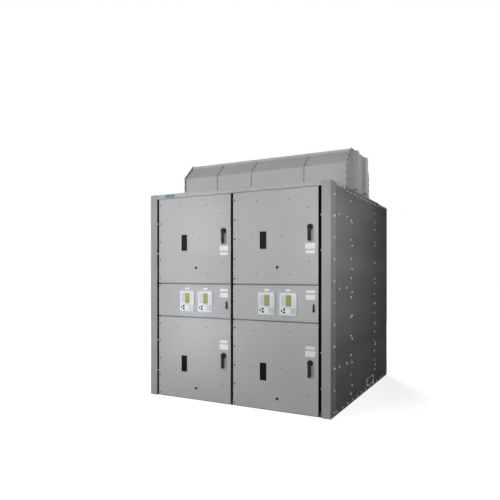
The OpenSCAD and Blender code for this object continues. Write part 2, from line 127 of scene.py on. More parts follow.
def finish(name, colour, rough, cloud=0.04, cloud_scale=2.2, cloud_detail=5, stretch=(1, 1, 1),
           grain=0.05, grain_scale=700, metallic=0.0, specular=0.35):
    """Surface with soft colour clouds, which may be stretched to bands of painted reflection, uneven
    gloss and a fine grain.
    """
    material = bpy.data.materials.new(name)
    material.use_nodes = True
    tree = material.node_tree
    shader = tree.nodes["Principled BSDF"]
    shader.inputs["Metallic"].default_value = metallic
    shader.inputs["Specular IOR Level"].default_value = specular
    coords = tree.nodes.new("ShaderNodeTexCoord").outputs["Object"]
    bands = add_node(tree, "ShaderNodeMapping", Scale=stretch)
    tree.links.new(coords, bands.inputs["Vector"])
    clouds = noise(tree, bands.outputs["Vector"], cloud_scale, cloud_detail)
    tone = ramp(tree, clouds, shade(colour, 1 - cloud), shade(colour, 1 + cloud))
    tree.links.new(tone, shader.inputs["Base Color"])
    patches = noise(tree, coords, GLOSS_SCALE * cloud_scale, GLOSS_DETAIL)
    gloss = spread(tree, patches, rough * (1 - GLOSS_SPREAD), rough * (1 + GLOSS_SPREAD))
    tree.links.new(gloss, shader.inputs["Roughness"])
    bump = add_node(tree, "ShaderNodeBump", Strength=grain, Distance=GRAIN_HEIGHT)
    tree.links.new(noise(tree, coords, grain_scale, GRAIN_DETAIL), bump.inputs["Height"])
    tree.links.new(bump.outputs["Normal"], shader.inputs["Normal"])
    return material


DOOR_PAINT = finish("door_paint", srgb(173, 173, 175), 0.46)
TRIM_PAINT = finish("trim_paint", srgb(167, 167, 168), 0.50, specular=0.02)
# Side wall, roof and angle paint: the trims' paint made darker as painted shade, with clouds stretched
# into horizontal bands of painted reflection
SIDE_PAINT_SHADE_AND_REFLECTIONS = finish("side_paint", srgb(150, 149, 147), 0.60, cloud=0.19, cloud_detail=1,
                    stretch=(0.05, 0.05, 1.0), specular=0.01)
DUCT_PAINT = finish("duct_paint", srgb(182, 182, 183), 0.48)
INNER_PAINT = finish("inner_paint", srgb(150, 150, 150), 0.5)
BASE_STEEL = finish("base_steel", srgb(70, 70, 70), 0.55, cloud=0.12)
# Hinge steel darkened nearly to black so that the hinges take on the shade of the door gaps: painted
# shade
DARK_HINGE_PAINTED_SHADE = finish("hinge_steel", srgb(30, 30, 31), 0.5, cloud=0.1, cloud_scale=30, specular=0.2)
ZINC = finish("zinc", srgb(222, 222, 219), 0.36, cloud=0.12, cloud_scale=60, metallic=0.2)
PAINTED_SCREW = finish("painted_screw", srgb(112, 112, 114), 0.42, cloud_scale=40)
DARK_SCREW = finish("dark_screw", srgb(58, 58, 60), 0.45, cloud_scale=40)
SIGHT_GLASS = finish("sight_glass", srgb(7, 7, 8), 0.30, cloud=0.2, grain=0.01, grain_scale=60,
                     specular=0.06)
BLACK_PLASTIC = finish("black_plastic", srgb(20, 20, 21), 0.5, cloud=0.15, grain=0.1,
                       grain_scale=1400, specular=0.15)
# Black rubber of the window gaskets; the same black also fills the door gaps as painted shade, on strips,
# door edges and hinge sleeves
RUBBER_AND_PAINTED_SHADE = finish("rubber_and_painted_shade", srgb(8, 8, 8), 0.8, cloud=0.2, cloud_scale=20, grain=0.2, grain_scale=900,
                specular=0.05)
RELAY_PLASTIC = finish("relay_plastic", srgb(224, 227, 229), 0.42, cloud=0.03, cloud_scale=12)
RELAY_RIM = finish("relay_rim", srgb(176, 190, 200), 0.4, cloud=0.04, cloud_scale=12)
LCD = finish("lcd", srgb(142, 143, 26), 0.22, cloud=0.06, cloud_scale=25, grain=0.02)
KEY_TEAL = finish("key_teal", srgb(150, 186, 190), 0.45, cloud=0.04, cloud_scale=40)
KEY_ORANGE = finish("key_orange", srgb(206, 120, 52), 0.45, cloud=0.05, cloud_scale=40)
PLATE_WHITE = finish("plate_white", srgb(228, 228, 228), 0.4, cloud=0.03, cloud_scale=15)
HEADER_STRIP = finish("header_strip", srgb(70, 128, 134), 0.4, cloud=0.04, cloud_scale=15)

# Word in a CAD node's name, its finish and its edge radius; the first that fits is taken, and the
# empty word fits all
NODE_FINISHES = (
    ("relays", RELAY_PLASTIC, 0.0015), ("window", SIGHT_GLASS, 0.0006),
    ("handle", BLACK_PLASTIC, 0.0025), ("port_cover", BLACK_PLASTIC, 0.001),
    ("latch", BLACK_PLASTIC, 0.0015), ("door", DOOR_PAINT, 0.0012),
    ("hinges", DARK_HINGE_PAINTED_SHADE, 0.0006), ("side_sheets", SIDE_PAINT_SHADE_AND_REFLECTIONS, 0.0008),
    ("rear_covers", TRIM_PAINT, 0.0008), ("duct", DUCT_PAINT, 0.0008),
    ("trim", TRIM_PAINT, 0.0012), ("header", DOOR_PAINT, 0.0012),
    ("roof", SIDE_PAINT_SHADE_AND_REFLECTIONS, 0.0008), ("angles", SIDE_PAINT_SHADE_AND_REFLECTIONS, 0.0012),
    ("base", BASE_STEEL, 0.0015), ("", INNER_PAINT, 0.0008),
)
WELD_GAP = 1e-5
EDGE_SEGMENTS = 2
EDGE_ANGLE = math.radians(40)


def dress_node(name, node):
    """Gives a CAD node its finish and softens its edges."""
    material, radius = next((paint, r) for word, paint, r in NODE_FINISHES if word in name)
    node.data.materials.clear()
    node.data.materials.append(material)
    weld = node.modifiers.new("weld", "WELD")
    weld.merge_threshold = WELD_GAP
    bevel = node.modifiers.new("edges", "BEVEL")
    bevel.width = radius
    bevel.segments = EDGE_SEGMENTS
    bevel.limit_method = "ANGLE"
    bevel.angle_limit = EDGE_ANGLE
    bevel.use_clamp_overlap = False
    bevel.harden_normals = False


# Shapes: lists of points and of faces
CORNER_STEPS = 4
SMALLEST_R = 1e-4
EDGE_PARTS = 3
SMOOTH_ANGLE = math.radians(35)


def loft(rings):
    """Closed solid through rings of points, which run counter-clockwise seen from the last ring."""
    count = len(rings[0])
    points = [point for ring in rings for point in ring]
    faces = [tuple(reversed(range(count)))]
    for start in range(0, count * (len(rings) - 1), count):
        for i in range(count):
            j = (i + 1) % count
            faces.append((start + i, start + j, start + count + j, start + count + i))
    faces.append(tuple(range(len(points) - count, len(points))))
    return points, faces


def closed_loft(rings):
    """Solid with a hole, through rings of points whose last one meets the first."""
    count = len(rings[0])
    points = [point for ring in rings for point in ring]
    faces = []
    for level in range(len(rings)):
        a, b = level * count, (level + 1) % len(rings) * count
        for i in range(count):
            j = (i + 1) % count
            faces.append((a + i, a + j, b + j, b + i))
    return points, faces


def joined(shapes):
    """Several shapes as one."""
    points, faces = [], []
    for shape_points, shape_faces in shapes:
        start = len(points)
        points += shape_points
        faces += [tuple(start + i for i in face) for face in shape_faces]
    return points, faces


def placed(shape, matrix):
    """A shape moved by a matrix."""
    points, faces = shape
    return [matrix @ Vector(point) for point in points], faces


def stamped(shape, matrices):
    """Many copies of one shape as one."""
    return joined([placed(shape, matrix) for matrix in matrices])


def circle(radius, z, sides):
    """Ring of points about Z."""
    turns = [2 * math.pi * i / sides for i in range(sides)]
    return [(radius * math.cos(t), radius * math.sin(t), z) for t in turns]


def turned(profile, sides):
    """Solid turned round Z through (radius, height) points."""
    return loft([circle(radius, z, sides) for radius, z in profile])


def rounded_ring(w, h, r, z, inset=0.0):
    """Rectangle with round corners about the origin, at height z."""
    r = max(r - inset, SMALLEST_R)
    x, y = w / 2 - inset - r, h / 2 - inset - r
    ring = []
    for quarter, (cx, cy) in enumerate(((x, y), (-x, y), (-x, -y), (x, -y))):
        for step in range(CORNER_STEPS + 1):
            turn = math.pi / 2 * (quarter + step / CORNER_STEPS)
            ring.append((cx + r * math.cos(turn), cy + r * math.sin(turn), z))
    return ring


def plate(w, h, t, r, edge):
    """Flat plate with round corners and a chamfered front edge."""
    return loft([rounded_ring(w, h, r, 0), rounded_ring(w, h, r, t - edge),
                 rounded_ring(w, h, r, t, edge)])


def border(w, h, r, width, t):
    """Flat frame with round corners, open in the middle, with chamfered edges."""
    edge = t / EDGE_PARTS
    return closed_loft([rounded_ring(w, h, r, 0), rounded_ring(w, h, r, t - edge),
                        rounded_ring(w, h, r, t, edge), rounded_ring(w, h, r, t, width - edge),
                        rounded_ring(w, h, r, t - edge, width), rounded_ring(w, h, r, 0, width)])


def slab(low, high):
    """Plain block between two corners."""
    (x0, y0, z0), (x1, y1, z1) = low, high
    return loft([[(x0, y0, z), (x1, y0, z), (x1, y1, z), (x0, y1, z)] for z in (z0, z1)])


# Placing

def facing(place, way, turn=0.0):
    """Matrix that stands a shape's Z along a direction at a place."""
    return (Matrix.Translation(place) @ Vector(way).to_track_quat("Z", "Y").to_matrix().to_4x4()
            @ Matrix.Rotation(turn, 4, "Z"))


def on_front(x, z, y=FRONT_Y):
    """Matrix that lays a shape's X and Y on X and Z, on a face that looks towards the front."""
    return Matrix(((1, 0, 0, x), (0, 0, -1, y), (0, 1, 0, z), (0, 0, 0, 1)))


def turn_outwards(mesh):
    """Turns every face of a mesh's closed shapes outwards."""
    shell = bmesh.new()
    shell.from_mesh(mesh)
    bmesh.ops.recalc_face_normals(shell, faces=shell.faces)
    shell.to_mesh(mesh)
    shell.free()


def add_piece(name, shape, material, body=ENCLOSURE):
    """Makes one object of a shape, and lets it move with a body."""
    mesh = bpy.data.meshes.new(name)
    points, faces = shape
    mesh.from_pydata(points, [], faces)
    mesh.validate()
    turn_outwards(mesh)
    mesh.shade_smooth()
    mesh.set_sharp_from_angle(angle=SMOOTH_ANGLE)
    mesh.materials.append(material)
    piece = bpy.data.objects.new(name, mesh)
    bpy.context.scene.collection.objects.link(piece)
    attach(piece, body)


def evenly(first, last, spacing):
    """Places from first to last, as near to a spacing as fits."""
    steps = max(1, round(abs(last - first) / spacing))
    return [first + (last - first) * i / steps for i in range(steps + 1)]


def stepped(first, pitch, count):
    """Places that start at first and follow one another by a pitch."""
    return [first + pitch * i for i in range(count)]


# Fasteners; profiles are shares of the radius and of the height
HEAD_PROFILE = ((1, 0), (1, 0.75), (0.86, 1))
HEAD_SIDES = 6
WASHER_PROFILE = ((1, 0), (1, 0.6), (0.93, 1))
WASHER_SIDES = 14
PAN_PROFILE = ((1, 0), (1, 0.35), (0.8, 0.8), (0.5, 1), (0.42, 1), (0.36, 0.5))
PAN_SIDES = 12


def hex_bolt(across, head, washer_r, washer_t):
    """Hexagon head with a chamfered top on a round washer."""
    r = across / math.sqrt(3)
    washer = turned([(washer_r * u, washer_t * v) for u, v in WASHER_PROFILE], WASHER_SIDES)
    hexagon = turned([(r * u, washer_t + head * v) for u, v in HEAD_PROFILE], HEAD_SIDES)
    return joined([washer, hexagon])


def pan_screw(r, h):
    """Low domed head with a round socket."""
    return turned([(r * u, h * v) for u, v in PAN_PROFILE], PAN_SIDES)


WALL_BOLT = hex_bolt(across=0.0175, head=0.0060, washer_r=0.0130, washer_t=0.002)
FLANGE_BOLT = hex_bolt(across=0.013, head=0.005, washer_r=0.0095, washer_t=0.0015)
JOINT_BOLT = hex_bolt(across=0.010, head=0.004, washer_r=0.0062, washer_t=0.001)
DOOR_SCREW = pan_screw(r=0.0095, h=0.0035)
DIMPLE_SCREW = pan_screw(r=0.0075, h=0.0025)
FINE_SCREW = pan_screw(r=0.0045, h=0.002)
RELAY_LAMP = pan_screw(r=0.0026, h=0.0014)


# Side walls: galvanised bolts along the seams, the edges and the cross rails
TRIM_BOLT_D = 0.117
SEAM_OFFSET = 0.022
CELL_SEAM_D = 0.731
REAR_SEAM_D = 1.813
# Upright rows: depth, first and last height, spacing
WALL_COLUMNS = (
    (TRIM_BOLT_D, 0.046, 2.288, 0.224),
    (CELL_SEAM_D - SEAM_OFFSET, 0.110, 2.288, 0.224),
    (CELL_SEAM_D + SEAM_OFFSET, 0.200, 2.050, 0.250),
    (REAR_SEAM_D - SEAM_OFFSET, 0.200, 1.200, 0.125),
    (REAR_SEAM_D - SEAM_OFFSET, 1.400, 2.260, 0.215),
    (REAR_SEAM_D + SEAM_OFFSET, 0.260, 2.150, 0.270),
)
RAIL_LEVELS = (2.098, 1.312, 0.482)
RAIL_BOLT_D = (0.284, 0.547)
BOTTOM_ROW_Z, BOTTOM_ROW_END = 0.032, 0.05
ROOF_ROW_DROP, ROOF_ROW_END = 0.016, 0.04
# Level rows: height, first and last depth, spacing
WALL_ROWS = (
    (BOTTOM_ROW_Z, 0.200, BODY_D - BOTTOM_ROW_END, 0.19),
    (BODY_H - ROOF_ROW_DROP, 0.200, 0.460, 0.085),
    (BODY_H - ROOF_ROW_DROP, 2.080, BODY_D - ROOF_ROW_END, 0.085),
)
# Turn of each bolt's head past the one before
WALL_BOLT_TURN = 0.4
ANGLE_BOLT_DROP, ANGLE_BOLT_IN = 0.040, 0.018
ANGLE_BOLT_PITCH = 0.14
UPRIGHT_LEG_END, FLAT_LEG_END = 0.05, 0.12


def wall_bolt_places():
    """Depths and heights of the bolts on one side wall."""
    places = [(d, z) for d, first, last, pitch in WALL_COLUMNS for z in evenly(first, last, pitch)]
    places += list(product(RAIL_BOLT_D, RAIL_LEVELS))
    places += [(d, z) for z, first, last, pitch in WALL_ROWS for d in evenly(first, last, pitch)]
    return places


def outward(side):
    """Direction in which a side wall looks."""
    return Vector((-1 if side == "left" else 1, 0, 0))


def side_bolts(side):
    """Bolts of one side wall."""
    way = outward(side)
    matrices = [facing(way * HALF_W + Vector((0, FRONT_Y + d, z)), way, WALL_BOLT_TURN * i)
                for i, (d, z) in enumerate(wall_bolt_places())]
    add_piece(f"{side}_wall_bolts", stamped(WALL_BOLT, matrices), ZINC)


def angle_bolts(side):
    """Bolts through the upright and the flat leg of a lifting angle."""
    low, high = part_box("lifting_angles")
    way = outward(side)
    upright = [facing(way * high.x + Vector((0, y, BODY_H - ANGLE_BOLT_DROP)), way, y)
               for y in evenly(low.y + UPRIGHT_LEG_END, high.y - UPRIGHT_LEG_END, ANGLE_BOLT_PITCH)]
    flat = [facing(way * (high.x - ANGLE_BOLT_IN) + Vector((0, y, high.z)), (0, 0, 1), y)
            for y in evenly(low.y + FLAT_LEG_END, high.y - FLAT_LEG_END, ANGLE_BOLT_PITCH)]
    bolts = stamped(FLANGE_BOLT, upright + flat)
    add_piece(f"{side}_lifting_angle_bolts", bolts, ZINC)


PAD_L, PAD_H = 0.330, 0.098
PAD_D, PAD_LEVEL = 1.56, 0.099
PAD_T, PAD_R, PAD_EDGE = 0.003, 0.006, 0.001
PAD_RIM_W, PAD_RIM_T = 0.005, 0.008
# Places of the bolts from the middle, as shares of the length and the height
PAD_BOLT_X, PAD_BOLT_Y = 0.42, 0.26


def ground_pad(side):
    """Framed and bolted cover near the foot of the side wall."""
    way = outward(side)
    matrix = facing(way * HALF_W + Vector((0, FRONT_Y + PAD_D, PAD_LEVEL)), way)
    cover = plate(PAD_L, PAD_H, PAD_T, PAD_R, PAD_EDGE)
    add_piece(f"{side}_ground_pad", placed(cover, matrix), SIDE_PAINT_SHADE_AND_REFLECTIONS)
    x, y = PAD_BOLT_X * PAD_L, PAD_BOLT_Y * PAD_H
    spots = [Matrix.Translation((u, v, PAD_T)) for u, v in product((-x, x), (-y, y))]
    rim = border(PAD_L, PAD_H, PAD_R, PAD_RIM_W, PAD_RIM_T)
    framed = joined([rim, stamped(FLANGE_BOLT, spots)])
    add_piece(f"{side}_ground_pad_rim", placed(framed, matrix), ZINC)


# Rear covers
REAR_BOLT_EDGE = 0.022
REAR_COLUMN_PITCH = 0.23
REAR_ROW_END, REAR_ROW_PITCH = 0.25, 0.22
REAR_BOLT_TURN = 0.3


def rear_bolts():
    """Bolts round the rim of each rear cover."""
    low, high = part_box("rear_covers")
    edge = REAR_BOLT_EDGE
    middle = BODY_H / 2
    heights = evenly(low.z + edge, middle - edge, REAR_COLUMN_PITCH)
    heights += evenly(middle + edge, high.z - edge, REAR_COLUMN_PITCH)
    columns = (low.x + edge, -edge, edge, high.x - edge)
    rows = (low.z + edge, middle - edge, middle + edge, high.z - edge)
    across = evenly(low.x + REAR_ROW_END, -REAR_ROW_END, REAR_ROW_PITCH)
    places = list(product(columns, heights))
    places += list(product(across + [-x for x in across], rows))
    matrices = [facing((x, REAR_Y, z), (0, 1, 0), REAR_BOLT_TURN * i)
                for i, (x, z) in enumerate(places)]
    add_piece("rear_cover_bolts", stamped(WALL_BOLT, matrices), ZINC)


# Exhaust duct: bolted joints, and the screws of the lid
DUCT_LOW, DUCT_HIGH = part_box("duct_section_1")
DUCT_JOINTS = [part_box(f"duct_section_{i}")[0].x for i in (1, 2, 3, 4)]
DUCT_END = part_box("duct_section_4")[1].x
DUCT_CHAMFER = 0.195
DUCT_FLANGE = 0.025
JOINT_FLANGE = 0.012
LID_H, LID_OUT = 0.012, 0.018
FLANGE_T = 0.003
FLANGE_BOLT_END = 0.045
JOINT_BOLT_PITCH, END_BOLT_PITCH = 0.088, 0.082
LID_SCREW_END, LID_SCREW_PITCH = 0.05, 0.10
# The outline's run across the top, counted from the front foot
TOP_RUN = 2


def duct_outline(inset):
    """Corners of the duct from its front foot over the top to its rear foot, drawn in by an inset."""
    corner = inset * (math.sqrt(2) - 1)
    slope_z = DUCT_HIGH.z - DUCT_CHAMFER - corner
    slope_y = DUCT_CHAMFER + corner
    front, back, top = DUCT_LOW.y, DUCT_HIGH.y, DUCT_HIGH.z
    corners = ((front + inset, DUCT_LOW.z), (front + inset, slope_z), (front + slope_y, top - inset),
               (back - slope_y, top - inset), (back - inset, slope_z), (back - inset, DUCT_LOW.z))
    return [Vector((0, y, z)) for y, z in corners]


def flange_places(inset, spacing, under_lid):
    """Bolt places along a joint's flange; a joint under the lid has none on its top."""
    corners = duct_outline(inset)
    for i, (start, end) in enumerate(zip(corners, corners[1:])):
        length = (end - start).length
        first, last = FLANGE_BOLT_END, length - FLANGE_BOLT_END
        if under_lid and i == TOP_RUN:
            continue
        if under_lid:
            first, last = (first, last - LID_OUT) if i < TOP_RUN else (first + LID_OUT, last)
        for along in evenly(first, last, spacing):
            yield start.lerp(end, along / length)


def duct_bolts():
    """A bolt head on one side of each joint and a nut on the other."""
    left, right = outward("left"), outward("right")
    joints, ends = [], []
    for x in DUCT_JOINTS[1:]:
        for place in flange_places(DUCT_FLANGE - JOINT_FLANGE / 2, JOINT_BOLT_PITCH, True):
            joints.append(facing(place + Vector((x - FLANGE_T, 0, 0)), left, place.z))
            joints.append(facing(place + Vector((x + FLANGE_T, 0, 0)), right, place.z))
    for x, inward in ((DUCT_JOINTS[0], right), (DUCT_END, left)):
        for place in flange_places(DUCT_FLANGE / 2, END_BOLT_PITCH, False):
            ends.append(facing(place + Vector((x, 0, 0)) - inward * FLANGE_T, -inward, place.z))
            ends.append(facing(place + Vector((x, 0, 0)) + inward * FLANGE_T, inward, place.z))
    add_piece("duct_joint_bolts", stamped(JOINT_BOLT, joints), DARK_SCREW)
    add_piece("duct_end_bolts", stamped(FLANGE_BOLT, ends), DARK_SCREW)


def duct_lid_screws():
    """Small screws through the lips of the lid, along the front and the rear."""
    ridge = duct_outline(DUCT_FLANGE)[TOP_RUN].y - LID_OUT
    z = DUCT_HIGH.z - DUCT_FLANGE + (LID_H - LID_OUT) / 2
    stations = DUCT_JOINTS + [DUCT_END]
    middle = (DUCT_LOW.y + DUCT_HIGH.y) / 2
    matrices = []
    for start, end in zip(stations, stations[1:]):
        for x in evenly(start + LID_SCREW_END, end - LID_SCREW_END, LID_SCREW_PITCH):
            matrices.append(facing((x, ridge, z), (0, -1, 0)))
            matrices.append(facing((x, 2 * middle - ridge, z), (0, 1, 0)))
    add_piece("duct_lid_screws", stamped(FINE_SCREW, matrices), PAINTED_SCREW)


# Black strips and hinge sleeves of painted shade in the door gaps
GAP_SHADE_W, GAP_SHADE_T = 0.058, 0.005
GAP_SHADE_LIFT = 0.002
EDGE_SHADE_T = 0.002
EDGE_SHADE_D = (0.008, 0.024)
EDGE_SHADE_END = 0.004
LIP_D = (0.003, 0.018)
LIP_GAP = 0.003
KNUCKLE_R, KNUCKLE_H = 0.0073, 0.050
KNUCKLE_SIDES = 20
LEAF_T = 0.005
HINGE_EDGE = 0.110


def gap_painted_shade_strips():
    """Black strips of painted shade on the posts behind the door gaps, and on the inner edges of the end
    trims.
    """
    low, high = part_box("base_frame")[1].z + GAP_SHADE_LIFT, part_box("front_header")[0].z
    half = GAP_SHADE_W / 2
    # Black strips laid where the gaps lie in shade: painted shade
    shapes = [slab((x - half, POST_FRONT - GAP_SHADE_T, low), (x + half, POST_FRONT, high)) for x in GAP_X]
    front, back = (FRONT_Y + d for d in EDGE_SHADE_D)
    for inner in (-TRIM_INNER, TRIM_INNER - EDGE_SHADE_T):
        shapes.append(slab((inner, front, GAP_SHADE_LIFT), (inner + EDGE_SHADE_T, back, high)))
    add_piece("door_gap_painted_shade", joined(shapes), RUBBER_AND_PAINTED_SHADE)


def header_lip():
    """Painted strip under the header that narrows the seam above the doors."""
    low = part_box("right_upper_door")[1].z + LIP_GAP
    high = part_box("front_header")[0].z
    front, back = (FRONT_Y + d for d in LIP_D)
    lip = slab((-TRIM_INNER, front, low), (TRIM_INNER, back, high))
    add_piece("header_lip", lip, DOOR_PAINT)


def door_edge_painted_shade(side, tier):
    """Black strips of painted shade on the folded hinge edge and free edge of a door, and sleeves of
    painted shade on its knuckles and over its hinge leaves.
    """
    left, right, bottom, top = door_area(side, tier)
    front, back = (FRONT_Y + d for d in EDGE_SHADE_D)
    low, high = bottom + EDGE_SHADE_END, top - EDGE_SHADE_END
    # Strips over the door's folded edges, where the gaps lie in shade: painted shade
    shapes = [slab((x, front, low), (x + EDGE_SHADE_T, back, high)) for x in (left - EDGE_SHADE_T, right)]
    axis = JOINT_AT[f"{side}_{tier}_door_hinge"]
    # Black sleeves and leaf strips over the hinges in the gap: painted shade
    sleeve = turned([(KNUCKLE_R, 0), (KNUCKLE_R, KNUCKLE_H)], KNUCKLE_SIDES)
    for level in (bottom + HINGE_EDGE, top - HINGE_EDGE):
        low, high = level - KNUCKLE_H / 2, level + KNUCKLE_H / 2
        shapes.append(placed(sleeve, Matrix.Translation((axis.x, axis.y, low))))
        shapes.append(slab((axis.x, axis.y - LEAF_T / 2, low), (left, axis.y + LEAF_T / 2, high)))
    body = f"{side}_{tier}_door"
    add_piece(f"{body}_edge_painted_shade", joined(shapes), RUBBER_AND_PAINTED_SHADE, body)


# Breaker doors; places are from the lower left corner of the door's face
HINGE_SCREW_X = 0.020
HINGE_SCREWS = {"upper": (0.058, 0.926), "lower": (0.031, 0.858)}
HINGE_SCREW_PITCH = 0.215
FINE_SCREWS = {
    "upper": ((0.226, 0.504), (0.589, 0.505), (0.294, 0.106), (0.691, 0.104), (0.300, 0.898),
              (0.678, 0.896), (0.893, 0.790), (0.900, 0.241)),
    "lower": ((0.222, 0.448), (0.590, 0.456), (0.270, 0.834), (0.687, 0.842), (0.898, 0.732),
              (0.898, 0.206)),
}
# Middle heights of the blank sign plate and of the strip next to it, from the handle's axis
PLATE_LEVELS = {"upper": (-0.197, -0.258), "lower": (0.093, 0.153)}
SIGN_SIZE, SIGN_R = (0.112, 0.059), 0.004
STRIP_SIZE, STRIP_R = (0.100, 0.031), 0.003
PLATE_T, PLATE_EDGE = 0.0016, 0.0005
# Radius and height of the handle's rose and of its cap
ROSE_PROFILE = ((0.031, 0), (0.031, 0.002), (0.029, 0.0035), (0.0262, 0.0035), (0.0262, 0))
ROSE_SIDES = 32
CAP_PROFILE = ((0.0135, 0), (0.0135, 0.0015), (0.012, 0.0032), (0.007, 0.0044), (0.0065, 0.003))
CAP_SIDES = 24
WINDOW_LAP = 0.014
GASKET_OUT, GASKET_R, GASKET_W, GASKET_T = 0.002, 0.004, 0.006, 0.0022
WINDOW_SCREW_GAP = 0.026


def door_area(side, tier):
    """Left, right, bottom and top edge of a door's face."""
    low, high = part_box(f"{side}_{tier}_door")
    return JOINT_AT[f"{side}_{tier}_door_hinge"].x + HALF_GAP, high.x, low.z, high.z


def blank_plate(size, r, x, z):
    """Plain plate on the face of a door."""
    return placed(plate(*size, PLATE_T, r, PLATE_EDGE), on_front(x, z))


def breaker_door_detail(side, tier):
    """Screws and blank plates of a breaker door, and what belongs to its handle and window."""
    left, _, bottom, _ = door_area(side, tier)
    body = f"{side}_{tier}_door"
    levels = evenly(*HINGE_SCREWS[tier], HINGE_SCREW_PITCH)
    screws = [on_front(left + HINGE_SCREW_X, bottom + z) for z in levels]
    add_piece(f"{body}_edge_screws", stamped(DOOR_SCREW, screws), DARK_SCREW, body)
    fine = [on_front(left + x, bottom + z) for x, z in FINE_SCREWS[tier]]
    add_piece(f"{body}_fine_screws", stamped(DIMPLE_SCREW, fine), PAINTED_SCREW, body)
    hub = JOINT_AT[f"{side}_{tier}_handle_turn"]
    sign_z, strip_z = PLATE_LEVELS[tier]
    plates = [blank_plate(SIGN_SIZE, SIGN_R, hub.x, hub.z + sign_z),
              blank_plate(STRIP_SIZE, STRIP_R, hub.x, hub.z + strip_z)]
    add_piece(f"{body}_blank_plates", joined(plates), PLATE_WHITE, body)
    handle_detail(f"{side}_{tier}_handle", hub, body)
    window_detail(f"{side}_{tier}_window", body)


def handle_detail(handle, hub, body):
    """Rose round the handle's boss, and a domed cap on its hub."""
    rose = closed_loft([circle(radius, z, ROSE_SIDES) for radius, z in ROSE_PROFILE])
    rose = placed(rose, on_front(hub.x, hub.z))
    add_piece(f"{body}_handle_rose", rose, BLACK_PLASTIC, body)
    cap = placed(turned(CAP_PROFILE, CAP_SIDES), on_front(hub.x, hub.z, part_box(handle)[0].y))
    add_piece(f"{handle}_cap", cap, BLACK_PLASTIC, handle)


def window_detail(window, body):
    """Black gasket round the sight window, and a screw above and below it."""
    low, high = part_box(window)
    x, z = (low.x + high.x) / 2, (low.z + high.z) / 2
    w, h = high.x - low.x - 2 * WINDOW_LAP, high.z - low.z - 2 * WINDOW_LAP
    gasket = border(w + GASKET_OUT, h + GASKET_OUT, GASKET_R, GASKET_W, GASKET_T)
    gasket = placed(gasket, on_front(x, z))
    add_piece(f"{body}_window_gasket", gasket, RUBBER_AND_PAINTED_SHADE, body)
    screws = [on_front(x, z + way * (h / 2 + WINDOW_SCREW_GAP)) for way in (-1, 1)]
    add_piece(f"{body}_window_screws", stamped(FINE_SCREW, screws), PAINTED_SCREW, body)


# Control doors
RELAY_W, RELAY_H = 0.200, 0.244
RELAY_SINK, KNOB_OUT = 0.002, 0.006
NAMEPLATE, NAMEPLATE_R, NAMEPLATE_GAP = (0.055, 0.022), 0.002, 0.024
# Blank signs above the latch: size and middle height over the latch's axis
CONTROL_SIGNS = (((0.104, 0.052), 0.144), ((0.100, 0.028), 0.201))
CONTROL_SIGN_IN = 0.038

# Relay faces; places are from the lower left corner of the face
RIM_IN, RIM_R, RIM_W, RIM_T = 0.006, 0.003, 0.0045, 0.0006
SCREEN_X, SCREEN_Z = 0.54 * RELAY_W, 0.64 * RELAY_H
SCREEN_W, SCREEN_H = 0.32 * RELAY_W, 0.48 * RELAY_H
SCREEN_PLAY, SCREEN_SINK = 0.004, 0.003
SCREEN_T, SCREEN_R, SCREEN_EDGE = 0.002, 0.002, 0.0006
SURROUND_OUT, SURROUND_R, SURROUND_W, SURROUND_T = 0.008, 0.003, 0.005, 0.0012
LAMP_STRIP = plate(w=0.034, h=0.009, t=0.0008, r=0.001, edge=0.0003)
LAMP_X, LAMP_STRIP_X = 0.025, 0.050
LAMP_LEVELS = stepped(first=0.112, pitch=0.0135, count=8)
KEY = plate(w=0.015, h=0.012, t=0.0028, r=0.002, edge=0.0008)
KEYPAD_X = stepped(first=0.138, pitch=0.020, count=3)
KEYPAD_Z = stepped(first=0.026, pitch=0.0165, count=4)
KEYPAD_SINK = 0.001
FUNCTION_KEY_X = 0.170
FUNCTION_KEY_Z = stepped(first=0.112, pitch=0.026, count=4)
SOFT_KEY = plate(w=0.0085, h=0.006, t=0.002, r=0.001, edge=0.0006)
SOFT_KEY_IN, SOFT_KEY_Z = 0.024, 0.087
SOFT_KEY_X = stepped(first=SCREEN_X - SOFT_KEY_IN, pitch=0.016, count=4)
KNOB_PROFILE = ((0.0108, 0), (0.0108, 0.0078), (0.0094, 0.0094), (0.003, 0.0094), (0.0026, 0.0086))
KNOB_SIDES = 20
KNOB_X, KNOB_Z = 0.060, (0.066, 0.034)
PORT = plate(w=0.012, h=0.026, t=0.002, r=0.002, edge=0.0006)
PORT_X, PORT_Z = 0.029, 0.049
FACE_SCREW_IN = 0.0115


def control_door_detail(side):
    """Relay faces and blank plates of a control door."""
    body = f"{side}_control_door"
    low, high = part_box(f"{side}_relays")
    plates = []
    for name, left in (("a", low.x), ("b", high.x - RELAY_W)):
        relay_face(f"{side}_relay_{name}", body, left, low.z, low.y + KNOB_OUT + RELAY_SINK)
        middle = left + RELAY_W / 2
        plates.append(blank_plate(NAMEPLATE, NAMEPLATE_R, middle, high.z + NAMEPLATE_GAP))
    latch = JOINT_AT[f"{side}_latch_turn"]
    for size, level in CONTROL_SIGNS:
        plates.append(blank_plate(size, STRIP_R, latch.x - CONTROL_SIGN_IN, latch.z + level))
    add_piece(f"{body}_blank_plates", joined(plates), PLATE_WHITE, body)


